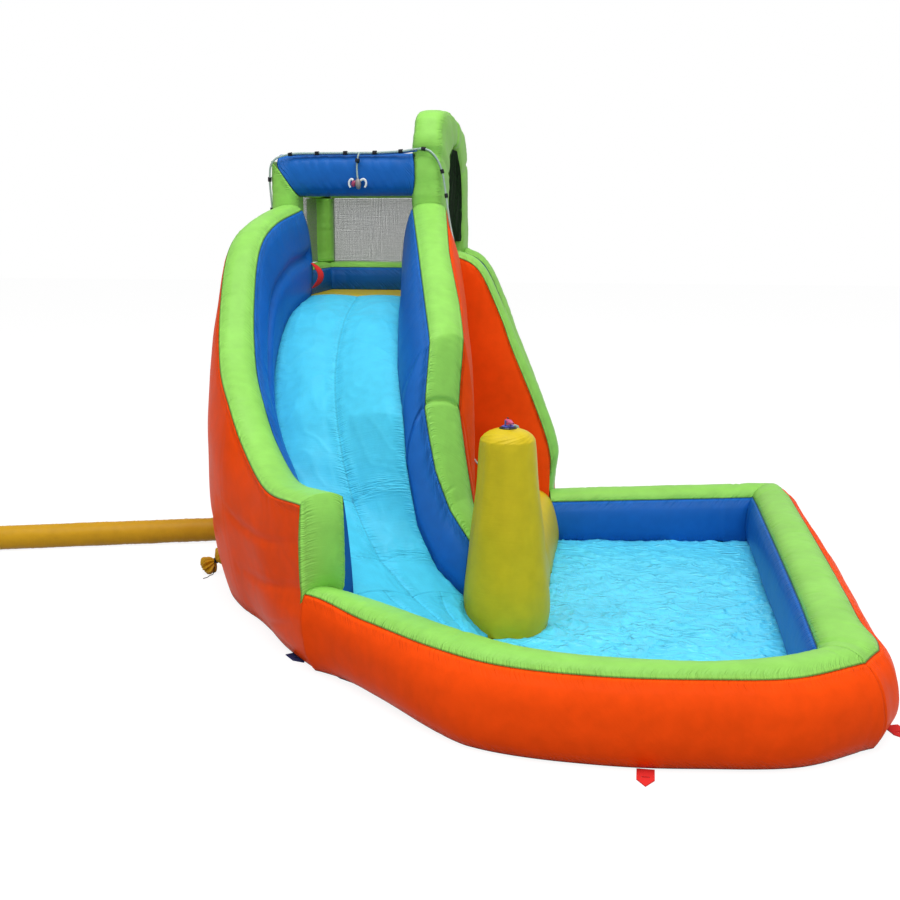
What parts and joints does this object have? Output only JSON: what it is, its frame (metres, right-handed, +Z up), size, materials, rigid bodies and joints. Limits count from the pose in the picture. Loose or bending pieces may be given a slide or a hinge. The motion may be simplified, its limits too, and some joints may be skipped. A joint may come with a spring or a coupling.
{
  "type": "inflatable water park",
  "caption": "Inflatable water park with a bending slide between bowed walls, a tower with a netted arch, a climbing ramp, a splash pool and a water cannon on a column.",
  "frame": {"origin": "on the ground, in the middle of the footprint", "axes": "+Z up, -Y towards the viewer, +X to the viewer's right, from the slide to the pool"},
  "size_m": [4.9215, 4.2857, 2.5947],
  "materials": {
    "green_fabric": "coated inflatable fabric, satin",
    "orange_fabric": "coated inflatable fabric, satin",
    "blue_fabric": "coated inflatable fabric, satin",
    "aqua_fabric": "coated inflatable fabric, glossy when wet",
    "yellow_fabric": "coated inflatable fabric, satin",
    "navy_fabric": "heavy coated fabric, satin",
    "grey_net": "knotless netting",
    "dark_net": "fine netting",
    "black_webbing": "woven webbing",
    "red_webbing": "woven webbing",
    "navy_webbing": "woven webbing",
    "hose_pvc": "clear flexible hose",
    "black_plastic": "moulded",
    "purple_plastic": "moulded, glossy",
    "pink_plastic": "moulded, glossy"
  },
  "bodies": {
    "water_park": {"back_beam": "green_fabric", "back_left_post": "green_fabric", "back_net": "grey_net", "base_sheet": "navy_fabric", "cannon_column": "yellow_fabric", "cannon_pad": "black_plastic", "climbing_loops": "black_webbing", "deflation_sleeve": "yellow_fabric", "entrance_arch": "green_fabric", "front_anchor_tab": "red_webbing", "front_beam": "blue_fabric", "front_left_post": "green_fabric", "grab_handle": "red_webbing", "inflation_duct": "yellow_fabric", "left_anchor_tab": "navy_webbing", "left_beam": "green_fabric", "left_net": "grey_net", "parapet_inner": "blue_fabric", "parapet_top": "green_fabric", "platform_deck": "yellow_fabric", "pool_back_inner": "blue_fabric", "pool_back_outer": "orange_fabric", "pool_back_top": "green_fabric", "pool_floor": "aqua_fabric", "pool_front_inner": "blue_fabric", "pool_front_outer": "orange_fabric", "pool_front_top": "green_fabric", "pool_left_wall": "yellow_fabric", "pool_right_inner": "blue_fabric", "pool_right_outer": "orange_fabric", "pool_right_top": "green_fabric", "ramp_back_inner": "blue_fabric", "ramp_back_outer": "orange_fabric", "ramp_back_top": "green_fabric", "ramp_bed": "yellow_fabric", "ramp_front_inner": "blue_fabric", "ramp_front_outer": "orange_fabric", "ramp_front_top": "green_fabric", "right_anchor_tab": "red_webbing", "slide_bed": "aqua_fabric", "slide_left_end": "green_fabric", "slide_left_inner": "blue_fabric", "slide_left_outer": "orange_fabric", "slide_left_top": "green_fabric", "slide_right_inner": "blue_fabric", "slide_right_outer": "orange_fabric", "slide_right_top": "green_fabric", "slide_runout": "aqua_fabric", "slide_web": "blue_fabric", "spray_nozzle": "black_plastic", "sprinkler_hose": "hose_pvc", "strap_tape": "black_webbing", "tower_outer": "orange_fabric", "tower_right_side": "orange_fabric", "tower_web": "blue_fabric"},
    "cannon_swivel": {"cannon_ring": "purple_plastic"},
    "cannon_nozzle": {"cannon_barrel": "pink_plastic"},
    "thumb_lever": {"cannon_trigger": "black_plastic"},
    "entrance_flap": {"entrance_net": "dark_net"},
    "hose_nut": {"hose_coupling": "black_plastic"}
  },
  "joints": [
    {"name": "cannon_pan", "type": "hinge", "parent": "water_park", "child": "cannon_swivel", "pos_m": [0.785, -0.63, 0.9906], "axis": [0, 0, 1], "range_deg": [-150, 150]},
    {"name": "cannon_tilt", "type": "hinge", "parent": "cannon_swivel", "child": "cannon_nozzle", "pos_m": [0.785, -0.63, 1.0146], "axis": [-0.8829, -0.4695, 0], "range_deg": [-10, 25]},
    {"name": "cannon_trigger_press", "type": "hinge", "parent": "cannon_nozzle", "child": "thumb_lever", "pos_m": [0.78688, -0.63353, 1.0282], "axis": [-0.8829, -0.4695, 0], "range_deg": [0, 9], "stiffness_Nm_per_rad": 0.02, "springref_deg": -17.19},
    {"name": "entrance_flap_swing", "type": "hinge", "parent": "water_park", "child": "entrance_flap", "pos_m": [0.1747, 1.54, 2.371], "axis": [0, 1, 0], "range_deg": [-75, 0]},
    {"name": "hose_nut_turn", "type": "hinge", "parent": "water_park", "child": "hose_nut", "pos_m": [-0.945, 1.32, 1.16], "axis": [0.0103, 0.0412, -0.9991], "continuous": true}
  ]
}
